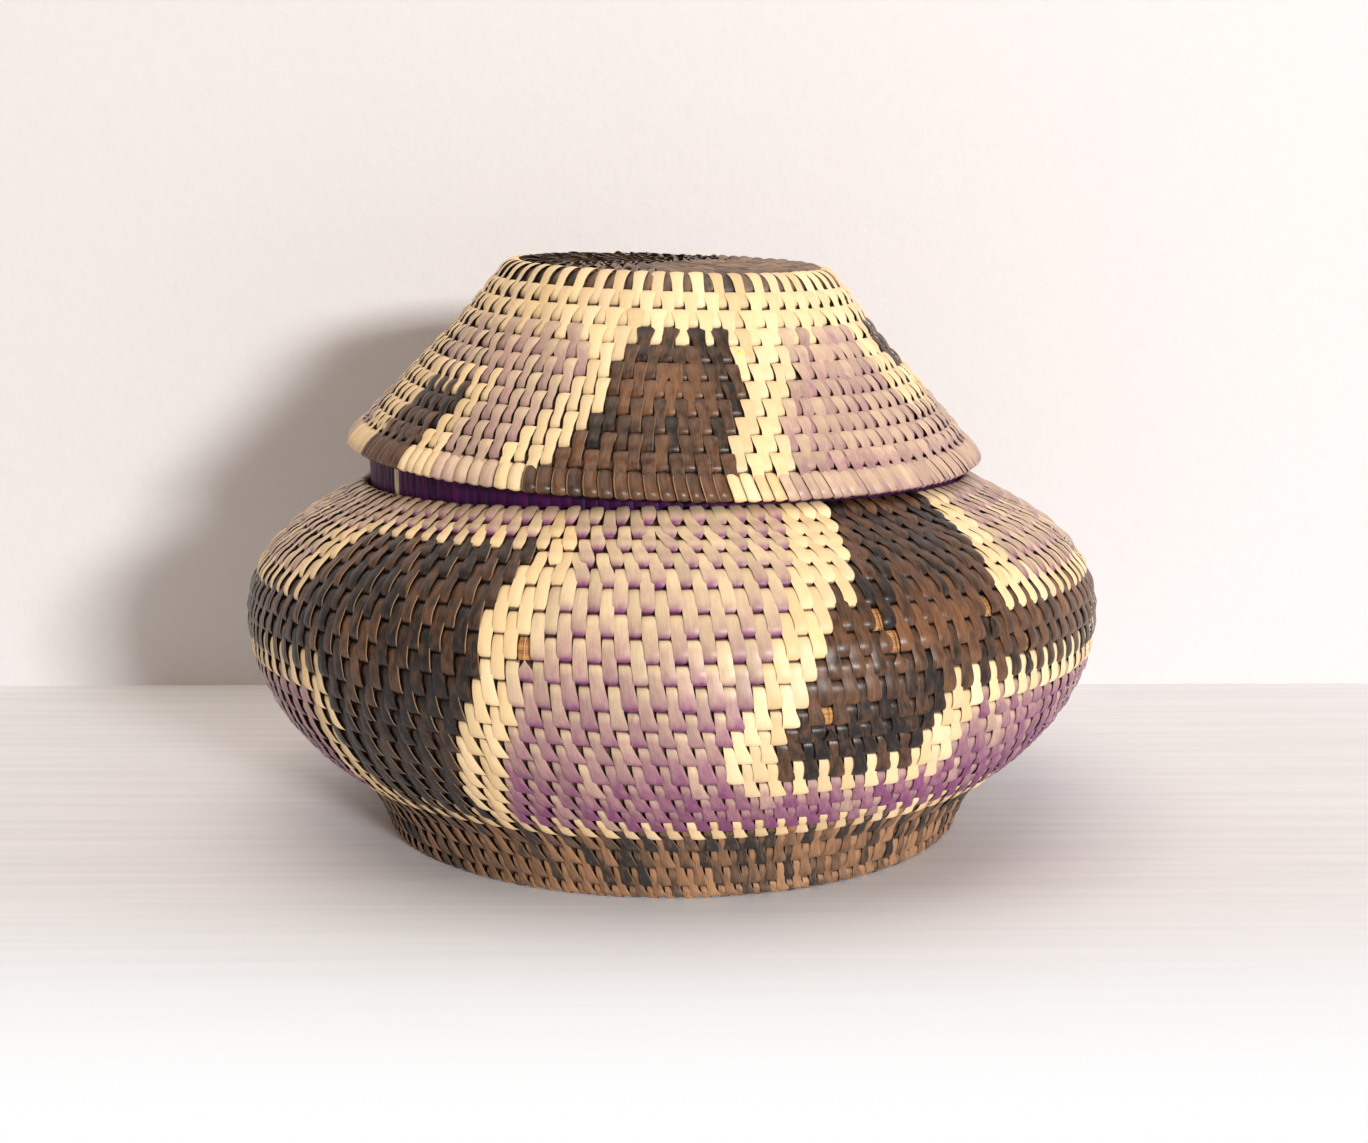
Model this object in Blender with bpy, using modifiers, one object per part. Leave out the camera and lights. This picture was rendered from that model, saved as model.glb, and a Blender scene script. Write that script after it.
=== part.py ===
"""Lidded coiled basket: a round-bellied bowl on a coiled foot, with a dyed collar and a bell-shaped lid.

The basket is sewn from a long coil of grass, wound round and round. Each round is a course, and each
course stands out of the wall as a rounded rib with a groove above and below it. The lid sits a little
askew, because the top edge of the collar that carries it slants. Metres, +Z up; the origin is on the
axis of the bowl, on the table. The lid lifts straight up along Z.
"""
import math

import bpy
from mathutils import Matrix, Vector

# The coil
COIL_PITCH = 0.0081          # height of one course, measured along the wall
FOOT_COURSES = 3             # the foot's courses are fatter
COIL_THICKNESS = 0.0055      # through the wall
FOOT_THICKNESS = 0.0060
GROOVE_DEPTH = 0.0011        # between two courses
CLEARANCE = 0.0003           # between two pieces that touch

# The bowl's outer surface, from the table up
FOOT_RADIUS = 0.1165         # where it stands on the table
FOOT_HEIGHT = 0.0268
WAIST_RADIUS = 0.1330        # where the foot meets the belly
BELLY_RISE = 0.0623          # from the foot to the widest course
BELLY_RADIUS = 0.1698
SHOULDER_RISE = 0.0509       # from the widest course to the mouth
FOOT_SLOPE = math.radians(72)        # slope of the foot at the table
WAIST_SLOPE = math.radians(36)       # slope of the wall where foot and belly meet
MOUTH_SLOPE = math.radians(30)       # slope of the shoulder at the mouth

# The woven bottom, inside the foot
BASE_HEIGHT = 0.0205         # its underside above the table
BASE_THICKNESS = 0.0055

# The dyed collar inside the mouth
COLLAR_RADIUS = 0.1185       # outer surface
COLLAR_THICKNESS = 0.0034
COLLAR_DEPTH = 0.0090        # how far it reaches down inside the mouth

# The lid's outer surface, from its rim up, before it is tilted
LID_PLAY = 0.0021            # between the collar and the lower edge of the rim
LID_RIM_THICKNESS = 0.0060
LID_RIM_HEIGHT = 0.0097
LID_RIM_FLARE = 0.0045       # how much wider the rim is at its lower edge
LID_RISE = 0.0628            # from the rim to the flat crown
CROWN_RADIUS = 0.0605
CROWN_THICKNESS = 0.0055
CROWN_EDGE = 0.0072          # length of the rounding at the crown's edge
CROWN_EDGE_SLOPE = math.radians(34)
LID_STRAIGHT = 0.0248        # length of the straight slope above the rim
LID_FIRST_COURSE = 0.0114    # the course that folds over the crown's edge is taller
LID_RIM_SLOPE = math.radians(75)     # slope of the rim at its lower edge

# How the lid sits
LID_TILT_FORWARD = math.radians(3.9)
LID_TILT_RIGHT = math.radians(2.2)
LID_SHIFT = 0.0012           # to the left of the bowl's axis
LID_REST_GAP = 0.0005        # between the mouth and the lowest point of the rim

TURN_STEPS = 32              # facets round every turned piece
RIB_POINTS = 3               # points across one rib
CURVE_POINTS = 240           # samples of an outline before its courses are marked on it
WEIGHTS = (lambda s, t: s ** 3, lambda s, t: 3 * s * s * t, lambda s, t: 3 * s * t * t, lambda s, t: t ** 3)

LOOKS = {
    "dark_foot_straw": ((0.130, 0.078, 0.048), 0.75),
    "mauve_belly_straw": ((0.400, 0.240, 0.320), 0.65),
    "cream_shoulder_straw": ((0.640, 0.480, 0.350), 0.65),
    "plain_bottom_straw": ((0.560, 0.420, 0.240), 0.75),
    "purple_collar_straw": ((0.100, 0.026, 0.170), 0.60),
    "black_crown_straw": ((0.050, 0.038, 0.032), 0.75),
    "cream_lid_straw": ((0.720, 0.560, 0.330), 0.65),
    "mauve_rim_straw": ((0.450, 0.310, 0.330), 0.65),
}


def clear_scene():
    for old in list(bpy.data.objects):
        bpy.data.objects.remove(old, do_unlink=True)


def new_collection(name):
    collection = bpy.data.collections.new(name)
    bpy.context.scene.collection.children.link(collection)
    return collection


def new_material(name):
    colour, roughness = LOOKS[name]
    made = bpy.data.materials.new(name)
    made.use_nodes = True
    shader = made.node_tree.nodes["Principled BSDF"]
    shader.inputs["Base Color"].default_value = (*colour, 1.0)
    shader.inputs["Roughness"].default_value = roughness
    shader.inputs["Metallic"].default_value = 0.0
    return made


def slope(angle, reach):
    """A step of a given reach that climbs at an angle, away from the axis."""
    return Vector((math.cos(angle) * reach, math.sin(angle) * reach))


def bezier(*corners):
    """Points (radius, height) along a cubic curve, its two ends included."""
    points = []
    for i in range(CURVE_POINTS + 1):
        t = i / CURVE_POINTS
        place = Vector((0.0, 0.0))
        for weight, corner in zip(WEIGHTS, corners):
            place += corner * weight(1.0 - t, t)
        points.append(place)
    return points


def length_of(points):
    return sum((b - a).length for a, b in zip(points, points[1:]))


def point_at(points, distance):
    """The point at a distance along an outline, and the direction there."""
    run = 0.0
    for a, b in zip(points, points[1:]):
        step = (b - a).length
        if run + step >= distance or b is points[-1]:
            direction = (b - a) / step
            return a + direction * (distance - run), direction
        run += step


def outward(direction):
    """Normal of an outline that runs downwards, pointing away from the axis."""
    return Vector((-direction[1], direction[0]))


def marks(points, count, start=0.0, end=0.0):
    """Points and directions at even steps along an outline, short of its ends by start and end."""
    reach = length_of(points) - start - end
    return [point_at(points, start + reach * i / count) for i in range(count + 1)]


def courses_on(outline, first=0.0):
    """How many courses of the coil an outline takes, below a first one of its own length."""
    return max(1, round((length_of(outline) - first) / COIL_PITCH)) + (1 if first else 0)


def inside(outline, courses, thickness, end=0.0, stands=False):
    """Points down the plain inside of a coiled wall."""
    points = [place - outward(direction) * thickness
              for place, direction in marks(outline, max(2, courses // 2), 0.0, end)]
    if stands:
        points[-1] = Vector((points[-1][0], outline[-1][1]))
    return points


def shell(outline, courses, thickness, end=0.0, stands=False, first=0.0):
    """Closed section of a coiled wall: ribs down the outside, a plain inside, one rib a course.

    end shortens it where it meets its neighbour. A wall that stands has a level lower edge. first is the
    length of a first course that differs from the others.
    """
    skin = []
    if first:
        skin = marks(outline, RIB_POINTS, 0.0, length_of(outline) - first)[:-1]
    skin += marks(outline, (courses - len(skin) // RIB_POINTS) * RIB_POINTS, first, end)
    outer = []
    for i, (place, direction) in enumerate(skin):
        across = (i % RIB_POINTS) / RIB_POINTS
        sunk = GROOVE_DEPTH * (1.0 - 4.0 * across * (1.0 - across))
        outer.append(place - outward(direction) * sunk)
    if stands:
        outer[-1] = Vector((outer[-1][0], outline[-1][1]))
    return outer + inside(outline, courses, thickness, end, stands)[::-1]


def radius_at(points, height):
    """Radius at a height, on points that run downwards."""
    for a, b in zip(points, points[1:]):
        if b[1] <= height <= a[1]:
            return b[0] + (a[0] - b[0]) * (height - b[1]) / (a[1] - b[1])
    return points[0][0]


def disc(top_radius, bottom_radius, bottom, thickness):
    """Half section of a flat coil wound from its middle: ribs on both faces, a slanted edge."""
    courses = round(top_radius / COIL_PITCH)
    section = []
    for i in range(courses * 2 + 1):
        sunk = 0.0 if i % 2 else GROOVE_DEPTH
        section.append(Vector((top_radius * i / (courses * 2), bottom + thickness - sunk)))
    for i in range(courses, -1, -1):
        sunk = GROOVE_DEPTH / 2 if (courses - i) % 2 else 0.0
        section.append(Vector((bottom_radius * i / courses, bottom + sunk)))
    return section


def turned(name, section, collection, look, parent=None, drop=0.0):
    """A section, listed down its outer side, turned round Z. drop lowers it under its parent."""
    mesh = bpy.data.meshes.new(name)
    corners = [(point[0], 0.0, point[1]) for point in section]
    edges = [(i, i + 1) for i in range(len(corners) - 1)]
    closed = max(section[0][0], section[-1][0]) > CLEARANCE
    if closed:
        edges.append((len(corners) - 1, 0))
    mesh.from_pydata(corners, edges, [])
    mesh.materials.append(new_material(look))
    made = bpy.data.objects.new(name, mesh)
    collection.objects.link(made)
    made.parent = parent
    made.location = (0.0, 0.0, -drop)
    screw = made.modifiers.new("turn", 'SCREW')
    screw.steps = TURN_STEPS
    screw.render_steps = TURN_STEPS
    screw.use_merge_vertices = True
    screw.merge_threshold = 0.00001
    screw.use_smooth_shade = True
    return made


def belly_height():
    return FOOT_HEIGHT + BELLY_RISE


def mouth_height():
    return belly_height() + SHOULDER_RISE


def lid_tilt():
    return Matrix.Rotation(LID_TILT_FORWARD, 4, 'X') @ Matrix.Rotation(LID_TILT_RIGHT, 4, 'Y')


def rim_radius():
    """Outer radius of the lid's lower edge: it passes over the collar with its play."""
    return COLLAR_RADIUS + LID_SHIFT + LID_PLAY + LID_RIM_THICKNESS


def rim_bottom():
    """Height of the rim's lower edge before the tilt, which brings its low side to the mouth."""
    dip = rim_radius() * lid_tilt().to_3x3().col[2].xy.length
    return mouth_height() + LID_REST_GAP + dip


def foot_outline():
    top = Vector((WAIST_RADIUS, FOOT_HEIGHT))
    bottom = Vector((FOOT_RADIUS, 0.0))
    reach = (top - bottom).length / 3
    return bezier(top, top - slope(WAIST_SLOPE, reach), bottom + slope(FOOT_SLOPE, reach), bottom)


def belly_outline():
    top = Vector((BELLY_RADIUS, belly_height()))
    bottom = Vector((WAIST_RADIUS, FOOT_HEIGHT))
    return bezier(top, top - Vector((0.0, BELLY_RISE * 0.48)),
                  bottom + slope(WAIST_SLOPE, BELLY_RISE * 0.32), bottom)


def shoulder_outline():
    """From the mouth, which closes round the collar, down to the widest course."""
    mouth_radius = COLLAR_RADIUS + CLEARANCE + COIL_THICKNESS * math.sin(MOUTH_SLOPE)
    top = Vector((mouth_radius, mouth_height()))
    bottom = Vector((BELLY_RADIUS, belly_height()))
    reach = (BELLY_RADIUS - mouth_radius) * 0.49
    return bezier(top, top + slope(-MOUTH_SLOPE, reach),
                  bottom + Vector((0.0, SHOULDER_RISE * 0.54)), bottom)


def lid_edge():
    """Where the lid's wall meets its rim."""
    return Vector((rim_radius() - LID_RIM_FLARE, rim_bottom() + LID_RIM_HEIGHT))


def lid_outline():
    top = Vector((CROWN_RADIUS, lid_edge()[1] + LID_RISE))
    fall = (lid_edge() - top).normalized()
    return bezier(top, top + slope(-CROWN_EDGE_SLOPE, CROWN_EDGE), lid_edge() - fall * LID_STRAIGHT,
                  lid_edge())


def rim_outline():
    bottom = Vector((rim_radius(), rim_bottom()))
    fall = (lid_outline()[-1] - lid_outline()[-2]).normalized()
    reach = LID_RIM_HEIGHT / 3
    return bezier(lid_edge(), lid_edge() + fall * reach, bottom + slope(LID_RIM_SLOPE, reach) * Vector((-1, 1)),
                  bottom)


def collar_top():
    """Height, in the untilted lid, where the rim's inside closes on the collar: the lid rests there."""
    reach = COLLAR_RADIUS + LID_SHIFT + CLEARANCE
    skin = [place - outward(direction) * LID_RIM_THICKNESS
            for place, direction in marks(rim_outline(), CURVE_POINTS)]
    return min(skin, key=lambda point: abs(point[0] - reach))[1] - CLEARANCE


def build_bowl(parts):
    foot = foot_outline()
    belly = belly_outline()
    shoulder = shoulder_outline()
    turned("foot_coil", shell(foot, FOOT_COURSES, FOOT_THICKNESS, stands=True), parts, "dark_foot_straw")
    turned("belly_coil", shell(belly, courses_on(belly), COIL_THICKNESS, end=CLEARANCE), parts,
           "mauve_belly_straw")
    turned("shoulder_coil", shell(shoulder, courses_on(shoulder), COIL_THICKNESS, end=CLEARANCE), parts,
           "cream_shoulder_straw")
    skin = inside(foot, FOOT_COURSES, FOOT_THICKNESS, stands=True)
    base_edge = radius_at(skin, BASE_HEIGHT + BASE_THICKNESS - GROOVE_DEPTH) - CLEARANCE
    base_foot = radius_at(skin, BASE_HEIGHT) - CLEARANCE
    turned("base_coil", disc(base_edge, base_foot, BASE_HEIGHT, BASE_THICKNESS), parts,
           "plain_bottom_straw")


def build_collar(parts, cutters, seat, drop):
    """A plain band inside the mouth, cut along the plane of the tilted lid."""
    low = mouth_height() - COLLAR_DEPTH
    high = rim_bottom() + LID_RIM_HEIGHT + LID_RISE
    inner = COLLAR_RADIUS - COLLAR_THICKNESS
    band = [Vector((COLLAR_RADIUS, high)), Vector((COLLAR_RADIUS, low)), Vector((inner, low)),
            Vector((inner, high))]
    collar = turned("collar_band", band, parts, "purple_collar_straw")

    size = 4 * BELLY_RADIUS
    bpy.ops.mesh.primitive_cube_add(size=size)
    cutter = bpy.context.object
    cutter.name = "collar_top_cutter"
    for owner in list(cutter.users_collection):
        owner.objects.unlink(cutter)
    cutters.objects.link(cutter)
    cutter.parent = seat
    cutter.location = (0.0, 0.0, collar_top() + size / 2 - drop)
    cutter.hide_render = True
    cutter.display_type = 'WIRE'
    cut = collar.modifiers.new("slanted_top", 'BOOLEAN')
    cut.operation = 'DIFFERENCE'
    cut.object = cutter
    cut.solver = 'EXACT'


def build_lid(parts, seat, drop):
    wall = lid_outline()
    crown_top = wall[0][1]
    courses = courses_on(wall, LID_FIRST_COURSE)
    turned("lid_wall_coil", shell(wall, courses, COIL_THICKNESS, end=CLEARANCE, first=LID_FIRST_COURSE), parts,
           "cream_lid_straw", seat, drop)
    turned("lid_rim_coil", shell(rim_outline(), 1, LID_RIM_THICKNESS, stands=True), parts,
           "mauve_rim_straw", seat, drop)
    slant = CROWN_THICKNESS * math.tan(CROWN_EDGE_SLOPE)
    edge = CROWN_RADIUS - CLEARANCE - GROOVE_DEPTH * math.sin(CROWN_EDGE_SLOPE)
    turned("crown_coil", disc(edge, edge - slant, crown_top - CROWN_THICKNESS, CROWN_THICKNESS), parts,
           "black_crown_straw", seat, drop)


def new_empty(name, parts, parent=None):
    made = bpy.data.objects.new(name, None)
    made.empty_display_size = COLLAR_RADIUS
    parts.objects.link(made)
    made.parent = parent
    return made


def main():
    clear_scene()
    parts = new_collection("coiled_basket")
    cutters = new_collection("cutters")
    drop = rim_bottom() + LID_RIM_HEIGHT / 2
    lift = new_empty("lid_lift", parts)
    lift.location = (-LID_SHIFT, 0.0, drop)
    seat = new_empty("lid_seat", parts, lift)
    seat.matrix_local = lid_tilt()
    build_bowl(parts)
    build_collar(parts, cutters, seat, drop)
    build_lid(parts, seat, drop)


main()
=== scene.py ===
"""The coiled basket as it looks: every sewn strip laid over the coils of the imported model, in metres.

The walls are worked course by course. The bowl goes up from its foot and the lid goes down from its crown.
Each strip is wide over its own course, narrows over the next one between its wide neighbours, and dives in.
"""
import math
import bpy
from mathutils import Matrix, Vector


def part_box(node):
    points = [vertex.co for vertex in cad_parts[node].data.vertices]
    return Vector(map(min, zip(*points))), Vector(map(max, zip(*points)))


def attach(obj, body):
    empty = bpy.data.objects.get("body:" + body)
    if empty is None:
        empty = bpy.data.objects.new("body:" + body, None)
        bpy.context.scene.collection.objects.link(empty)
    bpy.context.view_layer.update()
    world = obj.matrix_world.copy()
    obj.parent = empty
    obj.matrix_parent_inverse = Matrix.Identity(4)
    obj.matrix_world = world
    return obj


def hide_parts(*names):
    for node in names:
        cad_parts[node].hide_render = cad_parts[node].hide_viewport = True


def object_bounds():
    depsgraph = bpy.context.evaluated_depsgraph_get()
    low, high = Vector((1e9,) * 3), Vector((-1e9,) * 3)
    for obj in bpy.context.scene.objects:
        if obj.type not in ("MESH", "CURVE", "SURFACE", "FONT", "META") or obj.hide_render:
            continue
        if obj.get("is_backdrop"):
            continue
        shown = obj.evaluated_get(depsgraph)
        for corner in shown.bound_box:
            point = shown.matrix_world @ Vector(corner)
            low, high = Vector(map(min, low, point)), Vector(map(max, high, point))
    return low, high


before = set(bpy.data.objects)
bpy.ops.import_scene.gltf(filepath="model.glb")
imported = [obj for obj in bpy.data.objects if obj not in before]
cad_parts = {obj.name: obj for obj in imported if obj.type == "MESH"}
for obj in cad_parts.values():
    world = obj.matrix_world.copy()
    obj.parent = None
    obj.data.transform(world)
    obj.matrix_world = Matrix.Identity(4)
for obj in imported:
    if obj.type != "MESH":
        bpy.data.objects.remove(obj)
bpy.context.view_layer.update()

from types import SimpleNamespace

import bpy
import numpy as np
from mathutils import Matrix, Vector

TURN = 2 * math.pi

# The outline: the bowl as in the part's source, the lid and the mouth refitted to the photograph
COIL_PITCH = 0.0081
FINE_PITCH = 0.0076          # of the belly's and the lid's courses
COIL_THICKNESS = 0.0055
FOOT_THICKNESS = 0.0060
CLEARANCE = 0.0003
FOOT_RADIUS = 0.1165
FOOT_HEIGHT = 0.0268
WAIST_RADIUS = 0.1330
BELLY_RISE = 0.0623
BELLY_RADIUS = 0.1698
SHOULDER_RISE = 0.0517
FOOT_SLOPE = math.radians(72)
WAIST_SLOPE = math.radians(36)
MOUTH_SLOPE = math.radians(30)
BASE_HEIGHT = 0.0205
BASE_THICKNESS = 0.0055
BASE_RADIUS = 0.1228
COLLAR_RADIUS = 0.1185
COLLAR_THICKNESS = 0.0034
LID_PLAY = 0.0039
LID_RIM_THICKNESS = 0.0048
LID_RIM_HEIGHT = 0.0097
LID_RIM_FLARE = 0.0075
LID_RISE = 0.0624
CROWN_RADIUS = 0.0597
CROWN_EDGE = 0.0066
CROWN_EDGE_SLOPE = math.radians(38)
LID_STRAIGHT = 0.0251
LID_SWELL = 0.0026           # how far the lid's wall swells out below the crown
LID_SWELL_PLACE = 0.18       # where it swells most, as a share of the wall
LID_FIRST_COURSE = 0.0114
LID_RIM_SLOPE = math.radians(75)
LID_TILT_FORWARD = math.radians(4.1)
LID_TILT_RIGHT = math.radians(1.8)
LID_SHIFT = 0.0031
LID_REST_GAP = 0.0011
COLLAR_UNDER_LID = 0.0034    # how far the collar reaches up into the lid's rim
MOUTH_SHIFT = 0.0030         # how far the mouth stands left of the bowl's axis, under the lid
MOUTH_DIP = 0.0020           # how much lower its left side is
MOUTH_REACH = 0.022          # how far down the shoulder that shows

# Courses and strips
FOOT_COURSES = 4             # three full ones over the rolled edge
CROWN_COURSES = 7
FOOT_STRIPS = 116            # strips round the foot
BOWL_STRIPS = 130            # strips round the widest courses
LID_STRIPS = 87              # strips round the lower lid
COLLAR_STRIPS = 176
BOWL_COUNTS = ([FOOT_STRIPS] * 5 + [117, 118, 119, 120, 122, 125, 127, 128, 128] + [BOWL_STRIPS] * 3
               + [129, 127, 124, 121, 119, 118])
LID_COUNTS = [9, 19, 28, 36, 44, 51, 57, 57, 57, 57, 59, 70, 78, 82, 85] + [LID_STRIPS] * 3
BOWL_LEAN = [-0.28] * 11 + [-0.16] * 3 + [-0.10] * 5 + [-0.16] * 4   # in shares of a strip, by the next course
LID_LEAN = [1.3, 1.5, 1.6, 1.6, 1.5, 1.2, 0.10] + [0.06] * 4 + [0.10] * 7
LOWEST_COURSE = -0.95        # where the bottom's last strips come round the foot's edge
UNDYED_STRIP = 303.0         # where the collar has one undyed strip, in degrees
FLECK_DEGREES, FLECK_COURSE = 17.3, 4.32   # where a yellow fleck sticks to the lid
# Where the bowl's courses end, measured down its front: millimetres along the wall from the table
COURSE_ENDS = (4.4, 12.9, 21.4, 32.0, 39.5, 46.9, 54.3, 61.6, 68.9, 78.1, 85.5, 91.5, 98.3, 107.2, 114.4, 122.8,
               131.4, 141.4, 150.3, 158.2, 165.0, 172.5, 183.0)

# The core and the sewing
CORE_DEPTH = 0.0017          # how deep the core's ridges lie under the wall's outside
CORE_GROOVE = 0.0014         # how much deeper its grooves are
INNER_CORE_DEPTH = COIL_THICKNESS - 0.0012
INNER_CORE_GROOVE = 0.0006
CORE_STEPS = 160             # steps round a core
INNER_STEPS = 128            # and round what is seen from inside
INSIDE_DEPTH = COIL_THICKNESS - 0.0006   # where the strips lie inside
INSIDE_DELAY = 0.4           # how much later they start there, in courses
STRIP_WAVER = 0.00034        # how much strips differ in height
STRIP_TWIST = 0.00024        # how much they differ from end to end
# Where along a strip it swings over to its place: start and length, and both for one close beside another
SWING, TWIN_SWING = (0.12, 0.60), (0.34, 0.40)
TWIN_EASE = (0.42, 0.16)     # where such a strip narrows

# The camera that fits the photograph
CAMERA_PLACE = (0.0, -0.6946, 0.2136)
CAMERA_PITCH = math.radians(9.43)
CAMERA_YAW = math.radians(0.385)
CAMERA_LENS = 44.97
WALL_PLACE = 0.215           # the wall behind, from the basket's axis
STAGE_REACH = 3
WALL_TOP = 2.4

rng = np.random.default_rng(7)


# Outlines: arrays of (radius, height) that run the way the coil was worked

def step(angle, reach):
    return np.array((math.cos(angle) * reach, math.sin(angle) * reach))


def bezier(a, b, c, d, count=160):
    t = np.linspace(0.0, 1.0, count)[:, None]
    s = 1.0 - t
    return s ** 3 * a + 3 * s * s * t * b + 3 * s * t * t * c + t ** 3 * d


def length_of(points):
    return float(np.hypot(*np.diff(points, axis=0).T).sum())


def direction(start, end):
    return (end - start) / np.hypot(*(end - start))


def tilt():
    return Matrix.Rotation(LID_TILT_FORWARD, 4, 'X') @ Matrix.Rotation(LID_TILT_RIGHT, 4, 'Y')


belly_height = FOOT_HEIGHT + BELLY_RISE
mouth_height = belly_height + SHOULDER_RISE
rim_radius = COLLAR_RADIUS + LID_PLAY + LID_RIM_THICKNESS
rim_bottom = mouth_height + LID_REST_GAP + rim_radius * tilt().to_3x3().col[2].xy.length
drop = rim_bottom + LID_RIM_HEIGHT / 2
seat = Matrix.Translation((-LID_SHIFT, 0.0, drop)) @ tilt() @ Matrix.Translation((0.0, 0.0, -drop))
waist = np.array((WAIST_RADIUS, FOOT_HEIGHT))
widest = np.array((BELLY_RADIUS, belly_height))


def foot_outline():
    bottom = np.array((FOOT_RADIUS, 0.0))
    reach = float(np.hypot(*(waist - bottom))) / 3
    return bezier(waist, waist - step(WAIST_SLOPE, reach), bottom + step(FOOT_SLOPE, reach), bottom)[::-1]


def belly_outline():
    return bezier(widest, widest - np.array((0.0, BELLY_RISE * 0.48)),
                  waist + step(WAIST_SLOPE, BELLY_RISE * 0.32), waist)[::-1]


def shoulder_outline():
    mouth_radius = COLLAR_RADIUS + CLEARANCE + COIL_THICKNESS * math.sin(MOUTH_SLOPE)
    top = np.array((mouth_radius, mouth_height))
    return bezier(top, top + step(-MOUTH_SLOPE, (BELLY_RADIUS - mouth_radius) * 0.49),
                  widest + np.array((0.0, SHOULDER_RISE * 0.54)), widest)[::-1]


lid_edge = np.array((rim_radius - LID_RIM_FLARE, rim_bottom + LID_RIM_HEIGHT))
crown_top = float(lid_edge[1]) + LID_RISE


def lid_outline():
    top = np.array((CROWN_RADIUS, crown_top))
    fall = direction(top, lid_edge)
    wall = bezier(top, top + step(-CROWN_EDGE_SLOPE, CROWN_EDGE), lid_edge - fall * LID_STRAIGHT, lid_edge)
    s = np.linspace(0.0, 1.0, len(wall))
    g = s / LID_SWELL_PLACE
    rise = np.where(g < 1, np.sin(np.minimum(g, 1) * math.pi / 2), np.exp(-((g - 1) / 1.1) ** 2))
    swell = LID_SWELL * rise * (1 - s) ** 0.3
    return wall + swell[:, None] * np.array((-fall[1], fall[0]))


def rim_outline(wall):
    bottom = np.array((rim_radius, rim_bottom + 0.0006))
    reach = LID_RIM_HEIGHT / 3
    return bezier(lid_edge, lid_edge + direction(wall[-2], wall[-1]) * reach,
                  bottom + step(LID_RIM_SLOPE, reach) * np.array((-1.0, 1.0)), bottom)


class Wall:
    """An outline marked with its courses. Course 0 starts at the first point."""

    def __init__(self, stretches, side, before=None, after=None):
        """stretches is [(points, list of shares of its length where courses end)]; side is +1 where the
        outside lies to the left of the way the outline runs. before and after extend it past its ends."""
        points, marks, run, course = [], [], 0.0, 0
        if before is not None:
            points.append(before[:-1])
            run = length_of(np.vstack((before, stretches[0][0][:1])))
            marks += [(0.0, -1.0)]
        marks.append((run, 0.0))
        for outline, ends in stretches:
            points.append(outline if not points else outline[1:] if before is None or course else outline)
            reach = length_of(outline)
            for end in ends:
                course += 1
                marks.append((run + reach * end, float(course)))
            run += reach
        if after is not None:
            points.append(after)
            marks.append((run + length_of(np.vstack((stretches[-1][0][-1:], after))), course + 1.0))
        every = np.vstack(points)
        steps = np.hypot(*np.diff(every, axis=0).T)
        every = every[np.concatenate(([True], steps > 1e-7))]
        along = np.concatenate(([0.0], np.cumsum(np.hypot(*np.diff(every, axis=0).T))))
        self.grid = np.linspace(marks[0][1], marks[-1][1], 60 * len(marks))
        spots = np.interp(self.grid, [m[1] for m in marks], [m[0] for m in marks])
        self.r = np.interp(spots, along, every[:, 0])
        self.z = np.interp(spots, along, every[:, 1])
        dr, dz = np.gradient(self.r), np.gradient(self.z)
        size = np.hypot(dr, dz) + 1e-12
        self.nr, self.nz = -side * dz / size, side * dr / size

    def at(self, course):
        return tuple(np.interp(course, self.grid, values) for values in (self.r, self.z, self.nr, self.nz))

    def under(self, course, depth):
        """Points at a depth under the outside."""
        r, z, nr, nz = self.at(course)
        return np.stack((np.maximum(r - nr * depth, 0.0), z - nz * depth), axis=1)


def smooth(share):
    share = np.clip(share, 0.0, 1.0)
    return share * share * (3 - 2 * share)


def hill(value, middle, width):
    return np.exp(-((value - middle) / width) ** 2)


def even(count):
    return [(i + 1) / count for i in range(count)]


def midway(turns):
    """The angles halfway between each strip of a course and the next."""
    return (turns + np.append(turns[1:], turns[0] + TURN)) / 2


def to_degrees(turns):
    """Degrees to the right of the front, from -180 to 180."""
    return (np.degrees(turns) + 180.0) % 360.0 - 180.0


# How the strips stand round each course

def lay(counts, lean, turn=0.0):
    """Angles of the wide ends on each course, and of each one's narrow end on the next.

    counts is the number of strips on each course. lean is how far a strip leans by the next course, in
    shares of a strip. Where a course has more strips, two stand side by side between narrow ends, and where
    it has fewer, two narrow ends share a gap."""
    rows = [turn + np.arange(counts[0]) * TURN / counts[0]]
    tails = []
    for w in range(1, len(counts)):
        old = rows[-1]
        gap = TURN / len(old)
        crossing = old + lean[w - 1] * gap
        extra = counts[w] - len(old)
        special = np.arange(abs(extra)) + rng.random()
        special = set((special * len(old) / max(abs(extra), 1)).astype(int) % len(old))
        new, held, paired = [], [], []
        for i, middle in enumerate(midway(crossing)):
            here = [middle]
            if i in special:
                here = [] if extra < 0 else [middle - gap * 0.26, middle + gap * 0.26]
            held.append(list(range(len(new), len(new) + len(here))))
            new += here
            paired += [len(here) > 1] * len(here)
        new, paired = np.array(new), np.array(paired)
        for _ in range(3):
            left = np.insert(new[:-1], 0, new[-1] - TURN)
            right = np.append(new[1:], new[0] + TURN)
            new = np.where(paired, new, new * 0.6 + (left + right) * 0.2)
        new = new + rng.normal(0.0, 0.022, len(new)) * TURN / len(new) * ~paired
        ends = []
        for i in range(len(old)):
            joined_before, joined_after = not held[i - 1], not held[i]
            low = new[held[i - 2][-1] if joined_before else held[i - 1][-1]]
            high = new[held[(i + 1) % len(old)][0] if joined_after else held[i][0]]
            share = 0.70 if joined_before else 0.30 if joined_after else 0.5
            place = low + (high - low) % TURN * share
            ends.append(place + TURN * round((crossing[i] - place) / TURN))
        tails.append(np.array(ends))
        rows.append(new)
    tails.append(rows[-1] + lean[len(counts) - 1] * TURN / counts[-1])
    return rows, tails


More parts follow.
